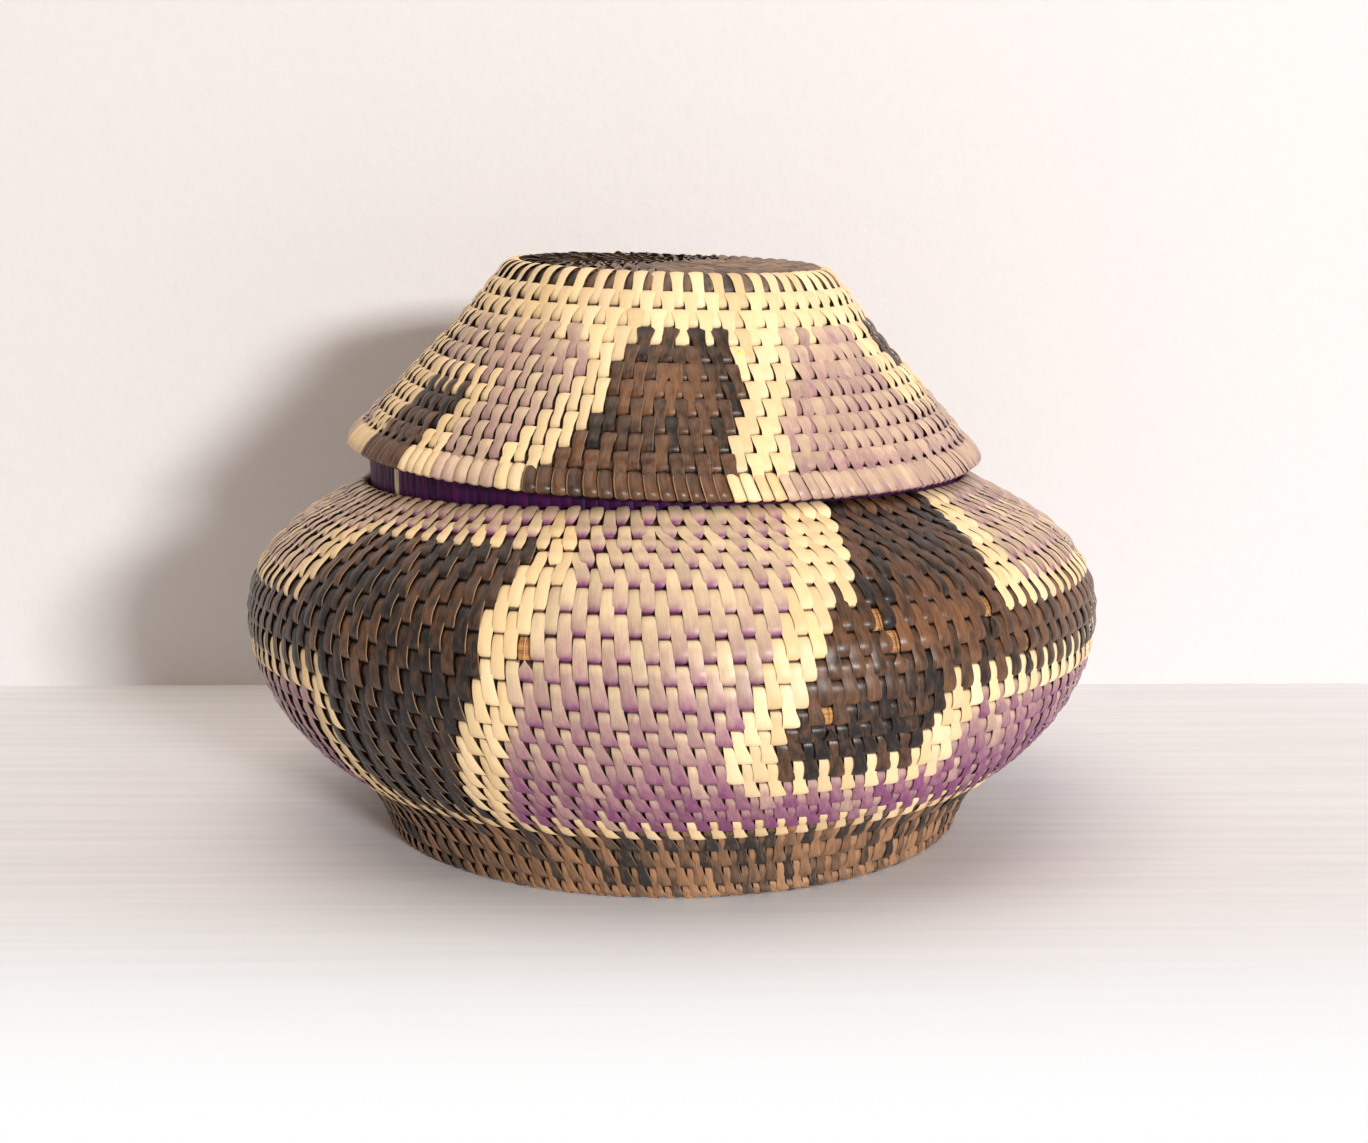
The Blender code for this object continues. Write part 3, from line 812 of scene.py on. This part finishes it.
bare = only(sewn, pinched)
bare.at, bare.wide, bare.fade = bare.at + 1.05, bare.tail, 1.0
bare.share_wide = bare.share_tail = 0.62
bare.end_round = 1.0
piece = strip_piece("bared_core", ribbon(bowl, bare, BARED, curl=0.0002, reach=0.92), bare, bared_grass, BARED)
bowl_pieces.append((piece, "belly_coil", "natural_straw"))
for label, low, high in (("foot", 0, WAIST), ("belly", WAIST, WIDEST), ("shoulder", WIDEST, BOWL_COURSES)):
    chosen = (sewn.belongs >= low) & (sewn.belongs < high)
    colour_pieces(bowl_pieces, f"{label}_coil", label + "_{}_strips", places[chosen], only(sewn, chosen))
for label, low, high, slot in (("foot", -0.9, WAIST, "dark_straw"), ("belly", WAIST, WIDEST, "natural_straw"),
                               ("shoulder", WIDEST, BOWL_COURSES + 0.9, "natural_straw")):
    bowl_pieces.append((core_piece(f"{label}_core", bowl, low, high), f"{label}_coil", slot))


def inside_pieces(pieces, node, label, wall, strips, turn, reach, **how):
    """A wall's inside: the same strips seen from behind, a little later and further round."""
    strips.at, strips.wide, strips.tail = strips.at + INSIDE_DELAY, strips.wide + turn, strips.tail + turn
    strips.fade, strips.edge = np.clip(strips.fade[:, :1] * 0.6 + 0.1, 0, 1), 0.0
    places = ribbon(wall, strips, INSIDE, ACROSS_IN, reach=reach, inside=INSIDE_DEPTH)
    colour_pieces(pieces, node, label, places, strips, profile=INSIDE, across=ACROSS_IN, **how)


inner = sewn.belongs >= WAIST
inner_reach = np.where(sewn.belongs[inner] > BOWL_COURSES - 2, 0.5, 1.9)
inside_pieces(bowl_pieces, "belly_coil", "inside_{}_strips", bowl, only(sewn, inner), 0.012, inner_reach,
              flip=True)
piece = inner_core_piece("inside_core", bowl, WAIST, BOWL_COURSES + 0.2, (BOWL_COURSES - WAIST) * 4, flip=True)
bowl_pieces.append((piece, "shoulder_coil", "natural_straw"))


# The lid, worked down from its middle

crown_line = np.stack((np.linspace(0.0, CROWN_RADIUS, 60), np.full(60, crown_top)), axis=1)
lid_line = lid_outline()
LID_COURSES = 1 + round((length_of(lid_line) - LID_FIRST_COURSE) / FINE_PITCH)
LID_END = float(CROWN_COURSES + LID_COURSES)
first_share = LID_FIRST_COURSE / length_of(lid_line)
lid_marks = [first_share + (1.0 - first_share) * i / (LID_COURSES - 1) for i in range(LID_COURSES)]
hem = np.array((rim_radius, rim_bottom)) + np.array([(-0.0004, 0.0003), (-0.0012, 0.0001), (-0.0030, 0.0004),
                                                     (-0.0045, 0.0020), (-0.0050, 0.0044)])
lid = Wall([(crown_line, even(CROWN_COURSES)), (lid_line, lid_marks), (rim_outline(lid_line), [1.0])], 1,
           after=hem)
lid_rows, lid_tails = lay(LID_COUNTS, LID_LEAN, turn=math.radians(3.0))


def lid_fade_and_painted_light(row, degrees, strips, profile):
    """How far each strip's dye has faded along it, with painted shade added to the right: 1 is bare straw."""
    v, row, degrees = profile[None, :, 0], column(row).astype(float), column(degrees)
    seed, kinds = strips.seeds[:, 2:3], column(strips.colour)
    mauve = 0.72 - np.clip(v - 0.30, -0.1, 0.4) * 0.6 + (seed - 0.5) * 0.22
    # Painted shade: the mauve is darker to the right, where the lamp lights it most
    mauve = mauve - 0.11 * np.clip((degrees - 15) / 20, 0, 1)
    # The front block has a rusty heart, and the wraps of the rim are brown
    black = 0.15 + hill(row, 5.6, 1.5) * hill(degrees, 0.0, 9.0) + (seed - 0.5) * 0.5 + 0.40 * (row > 8.5)
    crown = 0.40 + (seed - 0.5) * 1.1
    dark = np.where(row < 0, crown, black)
    return np.where(kinds == MAUVE, mauve, np.where(kinds == DARK, dark, 0.66 + (seed - 0.5) * 0.7))


cover = gather(lid_rows, lid_tails)
cover.seeds = rng.random((len(cover.at), 4))
row = (cover.at - CROWN_COURSES).astype(int)
degrees = to_degrees(cover.wide)
cover.colour = colours(LID_PATTERN, cover.at.astype(int), degrees)
cover.fade = lid_fade_and_painted_light(row, degrees, cover, LID_OUTSIDE)
inner = row >= -1
crown, crown_edge, first, last = row < 0, row == -1, row == 0, row == LID_COURSES - 1
coarse = np.clip((4.2 - row) / 1.5, 0.0, 1.0)
cover.share_wide = (np.where(crown, 0.62, np.where(first, 0.80, 0.635 + 0.18 * coarse))
                    + (cover.seeds[:, 0] - 0.5) * 0.05)
cover.share_tail = (np.where(row < -1, 0.50, np.where(crown_edge, 0.60, 0.50 + 0.03 * coarse))
                    + (cover.seeds[:, 1] - 0.5) * 0.05)
cover.end_round = np.where(crown, 0.45, np.where(first, 0.72, 0.94))
cover.edge = 0.30 * (cover.seeds[:, 3] > 0.5) + 0.55 * crown * (cover.seeds[:, 3] > 0.3)
cover.at = cover.at - 0.10 * first
leaning = only(cover, slice(None))
leaning.tail = cover.tail - 0.05 * TURN / cover.count
roll = np.where(crown, 0.00055, 0.00008) + (cover.seeds[:, 2] - 0.5) * np.where(crown, 0.0007, 0.00028)
places = ribbon(lid, leaning, LID_OUTSIDE, curl=0.00040, roll=roll, sink=0.0005 * crown_edge, nose_shift=-0.3,
                reach=np.where(last, 1.34, 2.00), nose_length=np.where(first, 0.08, 0.04),
                ease_start=np.where(first, 0.05, np.where(last, 0.36, 0.20 - 0.12 * coarse)),
                ease_length=np.where(first, 0.44, 0.28 + 0.10 * coarse), twin=twins(lid_rows) & (row > 0))
colour_pieces(lid_pieces, "lid_wall_coil", "lid_{}_strips", places[~crown], only(cover, ~crown),
              profile=LID_OUTSIDE, flip=True, matrix=seat)
piece = strip_piece("crown_strips", places[crown], only(cover, crown), crown_straw, LID_OUTSIDE, flip=True,
                    matrix=seat)
lid_pieces.append((piece, "crown_coil", "dark_straw"))

# The rim: plain wraps side by side, in and between the narrow ends of the course above
ends, pitch = lid_tails[-1], TURN / LID_STRIPS
wraps = SimpleNamespace(at=LID_END - 0.02, wide=np.concatenate((midway(ends), ends + pitch * 0.02)),
                        share_wide=0.545, share_tail=0.545, count=float(LID_STRIPS), end_round=0.9)
wraps.tail = wraps.wide + 0.25 * pitch
wraps.seeds = rng.random((len(wraps.wide), 4))
degrees = to_degrees(wraps.wide)
wraps.colour = colours(LID_PATTERN, [int(LID_END)] * len(degrees), degrees)
wraps.fade = lid_fade_and_painted_light(np.full(len(degrees), 9), degrees, wraps, RIM)
wraps.edge = 0.55 + 0.45 * wraps.seeds[:, 3]
places = ribbon(lid, wraps, RIM, curl=0.00095, roll=-0.00042 + (wraps.seeds[:, 2] - 0.5) * 0.0003, reach=1.95)
colour_pieces(lid_pieces, "lid_rim_coil", "rim_{}_wraps", places, wraps, profile=RIM, flip=True, matrix=seat,
              mirror=-1)

# A yellow fleck beside the lid's dark block
fleck_look = new_look("yellow_fleck")
noise = fleck_look.add("ShaderNodeTexNoise", {"Scale": 5.0}).outputs[0]
fleck_look.dress(fleck_look.mix(noise, (0.80, 0.66, 0.03), (0.90, 0.78, 0.10)), 0.5)
turn = math.radians(FLECK_DEGREES)
fleck = SimpleNamespace(at=CROWN_COURSES + FLECK_COURSE, wide=turn, tail=turn, share_wide=0.32, share_tail=0.32,
                        count=float(LID_STRIPS), seeds=np.full((1, 4), 0.5), end_round=0.3, fade=1.0, edge=0.0)
places = ribbon(lid, fleck, FLECK, reach=0.34, nose_length=0.4)
piece = strip_piece("lid_yellow_fleck", places, fleck, fleck_look.block, FLECK, flip=True, matrix=seat)
lid_pieces.append((piece, "lid_wall_coil", "natural_straw"))

for label, low, high, node in (("crown", 0.0, CROWN_COURSES, "crown_coil"),
                               ("lid", CROWN_COURSES, LID_END, "lid_wall_coil"),
                               ("rim", LID_END, LID_END + 1.0, "lid_rim_coil")):
    piece = core_piece(f"{label}_core", lid, low, high, matrix=seat, flip=True)
    lid_pieces.append((piece, node, "natural_straw"))

# The lid's inside, whose strips end before the rim's lower edge
inner_reach = np.minimum(1.9, LID_END + 0.75 - (cover.at[inner] + INSIDE_DELAY))
inside_pieces(lid_pieces, "lid_wall_coil", "lid_inside_{}_strips", lid, only(cover, inner), 0.02, inner_reach,
              matrix=seat)
piece = inner_core_piece("lid_inside_core", lid, 0.0, LID_END + 0.95, int(LID_END) * 4, matrix=seat)
lid_pieces.append((piece, "lid_rim_coil", "natural_straw"))


# The collar: upright strips, side by side, over a smooth band. Its top lies in the plane of the lid's seat.

collar_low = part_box("collar_band")[0].z
collar_top = rim_bottom + COLLAR_UNDER_LID
tops = np.array([seat @ Vector((COLLAR_RADIUS * math.sin(a), -COLLAR_RADIUS * math.cos(a), collar_top))
                 for a in np.linspace(0.0, TURN, 24, endpoint=False)])
spots = np.c_[tops[:, 0] + MOUTH_SHIFT, tops[:, 1], np.ones(len(tops))]
plane = np.linalg.lstsq(spots, tops[:, 2], rcond=None)[0]


def collar_places(radius, turn, along, across):
    """Places on a cylinder from the collar's foot to its slanted top, as (strip, along, across, 3)."""
    angle = turn[:, None, None] + math.pi / COLLAR_STRIPS * 0.94 * across
    ring = radius + np.zeros((len(turn), len(along), np.size(across)))
    x, y = ring * np.sin(angle), -ring * np.cos(angle)
    top = plane[0] * x + plane[1] * y + plane[2] - 0.0002
    return np.stack((x, y, collar_low + (top - collar_low) * along[None, :, None]), axis=-1)


turn = np.arange(COLLAR_STRIPS) * TURN / COLLAR_STRIPS + rng.normal(0, 0.0015, COLLAR_STRIPS)
upright = SimpleNamespace(seeds=rng.random((COLLAR_STRIPS, 4)), edge=0.0)
upright.fade = 0.35 + (upright.seeds[:, 3:4] - 0.5) * 0.7
tip = (upright.seeds[:, 2] - 0.5)[:, None, None] * 0.0002 * ACROSS
scale = 1.0 + (0.00035 * (1 - ACROSS ** 2) + tip) / COLLAR_RADIUS
scale = np.stack((scale, scale, np.ones(scale.shape)), axis=-1)
dyed = np.arange(COLLAR_STRIPS) != np.argmin(np.abs(np.degrees(turn) - UNDYED_STRIP))
places = collar_places(COLLAR_RADIUS - 0.0005, turn, COLLAR[:, 0], ACROSS) * scale
for chosen, name, material, slot in ((dyed, "collar_strips", purple_straw, "purple_straw"),
                                     (~dyed, "collar_undyed_strip", mauve_straw, "mauve_straw")):
    some = only(upright, chosen)
    some.fade = some.fade + 0.5 * ~dyed[chosen][:, None]
    bowl_pieces.append((strip_piece(name, places[chosen], some, material, COLLAR), "collar_band", slot))
places = collar_places(COLLAR_RADIUS - COLLAR_THICKNESS + 0.0002, turn, COLLAR[:, 0], ACROSS) / scale
piece = strip_piece("collar_inside_strips", places, upright, purple_straw, COLLAR, flip=True)
bowl_pieces.append((piece, "collar_band", "purple_straw"))

# The band under the strips, with a closed top edge
body_look = new_look("collar_body")
noise = body_look.noise(body_look.place(), 300.0, 3.0, 0.5)
body_look.dress(body_look.mix(noise, (0.012, 0.005, 0.022), (0.05, 0.018, 0.09)),
                body_look.ramp(noise, 0.3, 0.7, 0.6, 0.8))
turn = np.arange(COLLAR_STRIPS) * TURN / COLLAR_STRIPS
up = np.array((0.0, 0.5, 1.0))
rings = np.concatenate((collar_places(COLLAR_RADIUS - 0.0006, turn, up, 0.0),
                        collar_places(COLLAR_RADIUS - COLLAR_THICKNESS + 0.0005, turn, up[::-1], 0.0)), axis=1)
piece = add_mesh("collar_body", rings.reshape(-1, 3), ring_faces(COLLAR_STRIPS, 2 * len(up)), body_look.block)
bowl_pieces.append((piece, "collar_band", "purple_straw"))


# The woven bottom, wound from its middle, seen from inside and from below

for label, level, side, radius in (("bottom_inside", BASE_HEIGHT + BASE_THICKNESS - 0.0004, 1, BASE_RADIUS),
                                   ("bottom_underside", BASE_HEIGHT + 0.0002, -1, BASE_RADIUS - 0.0030)):
    line = np.stack((np.linspace(0.0, radius, 90), np.full(90, level)), axis=1)
    courses = round(radius / COIL_PITCH)
    wall = Wall([(line, even(courses))], side)
    wound = gather(*lay([int(8 + 7.1 * i) for i in range(courses)], [0.18] * courses, turn=0.3))
    wound.seeds = rng.random((len(wound.at), 4))
    wound.share_wide, wound.share_tail, wound.end_round, wound.edge = 0.6, 0.5, 0.8, 0.0
    wound.fade = 0.5 + (wound.seeds[:, 2:3] - 0.5) * 0.8
    places = ribbon(wall, wound, reach=np.where(wound.at > courses - 1.5, 1.0, 2.06))
    strips = strip_piece(f"{label}_strips", places, wound, bottom_straw, flip=side > 0)
    body = core_piece(f"{label}_core", wall, 0.0, float(courses), 96, 0.0010, flip=side > 0)
    bowl_pieces += [(strips, "base_coil", "natural_straw"), (body, "base_coil", "natural_straw")]

# The foot's inside
r, z, nr, nz = bowl.at(np.linspace(-0.9, WAIST, 20))
profile = np.stack((r - nr * (FOOT_THICKNESS - 0.0003), np.maximum(z - nz * FOOT_THICKNESS, 0.0006)), axis=1)
piece = turned_piece("foot_inside", profile, INNER_STEPS, core_grass_in_painted_shade, flip=True)
bowl_pieces.append((piece, "foot_coil", "dark_straw"))


def settle_mouth(piece):
    """The mouth of the real bowl stands a little to the left, and its left side a little lower."""
    spots = np.empty(len(piece.data.vertices) * 3)
    piece.data.vertices.foreach_get("co", spots)
    spots = spots.reshape(-1, 3)
    high = smooth((spots[:, 2] - mouth_height + MOUTH_REACH) / MOUTH_REACH)
    left = smooth(-spots[:, 0] / (0.75 * COLLAR_RADIUS))
    spots[:, 2] -= MOUTH_DIP * high * left * (spots[:, 2] < mouth_height + 0.003)
    spots[:, 0] -= MOUTH_SHIFT * high
    piece.data.vertices.foreach_set("co", spots.ravel())
    piece.data.update()


for piece, node, slot in bowl_pieces:
    settle_mouth(piece)
for body, pieces in (("basket", bowl_pieces), ("lid", lid_pieces)):
    for piece, node, slot in pieces:
        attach(piece, body)
        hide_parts(node)


# The table, the wall and the light

def stage_plane(name, corners, material):
    made = add_mesh(name, np.array(corners, dtype=float), np.array(((0, 1, 2, 3),)), material)
    made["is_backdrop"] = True


table = new_look("table_paint")
grain = table.noise(table.place((5.0, 160.0, 1.0)), 1.0, 4.0)
table.dress(table.mix(table.ramp(grain, 0.3, 0.7), (0.815, 0.825, 0.880), (0.885, 0.895, 0.945)), 0.55,
            (0.15, 0.0005, grain))
# It fades to white before the basket and behind the wall
away = table.add("ShaderNodeSeparateXYZ", {0: table.place()}).outputs[1]
fading = table.maths('MAXIMUM', table.ramp(away, -0.070, -0.285), table.ramp(away, WALL_PLACE, WALL_PLACE + 0.12))
white = table.add("ShaderNodeEmission", {"Color": (1.0, 1.0, 1.0, 1.0), "Strength": 1.0})
table.cover(table.maths('MULTIPLY', table.seen(), fading), white)

plaster = new_look("wall_paint")
grain = plaster.noise(plaster.place(), 160.0)
plaster.dress(plaster.mix(grain, (0.712, 0.690, 0.712), (0.742, 0.720, 0.742)), 0.8, (0.25, 0.0012, grain))
# The wall has one side, so that a view from behind looks through it
plaster.cover(plaster.add("ShaderNodeNewGeometry").outputs["Backfacing"], plaster.add("ShaderNodeBsdfTransparent"))

left, right = -STAGE_REACH, STAGE_REACH
stage_plane("table", [(left, left, 0), (right, left, 0), (right, right, 0), (left, right, 0)], table.block)
stage_plane("wall", [(left, WALL_PLACE, 0), (right, WALL_PLACE, 0), (right, WALL_PLACE, WALL_TOP),
                     (left, WALL_PLACE, WALL_TOP)], plaster.block)

for name, place, aim, size, power, colour in (
        ("key", (2.12, -4.03, 0.90), (0.0, 0.0, 0.10), (0.75, 0.42), 196.0, (1.0, 0.985, 0.955)),
        ("top", (-0.25, -0.55, 2.2), (0.0, 0.0, 0.0), (1.8, 1.8), 21.5, (1.0, 0.86, 0.69))):
    lamp = bpy.data.lights.new(name, 'AREA')
    lamp.shape = 'RECTANGLE'
    lamp.size, lamp.size_y = size
    lamp.energy = power
    lamp.color = colour
    made = place_object(name, lamp)
    made.location = place
    made.rotation_euler = (Vector(aim) - Vector(place)).to_track_quat('-Z', 'Y').to_euler()

# A dim warm glow, and a pale room where a view passes the end of the stage
world = bpy.data.worlds.new("studio")
bpy.context.scene.world = world
studio = Nodes(world, "Background", "World Output")
studio.shader.inputs["Color"].default_value = (1.0, 0.80, 0.56, 1.0)
studio.shader.inputs["Strength"].default_value = 0.13
room = studio.add("ShaderNodeBackground", {"Color": (1.0, 0.97, 0.94, 1.0), "Strength": 0.55})
studio.cover(studio.seen(), room)

camera_data = bpy.data.cameras.new("camera")
camera_data.lens = CAMERA_LENS
camera_data.sensor_width = 36.0
camera_data.clip_start = 0.02
camera = place_object("camera", camera_data)
camera.location = CAMERA_PLACE
camera.rotation_euler = (math.pi / 2 - CAMERA_PITCH, 0.0, -CAMERA_YAW)
bpy.context.scene.camera = camera

bpy.context.scene.view_settings.view_transform = 'Standard'

low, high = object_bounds()
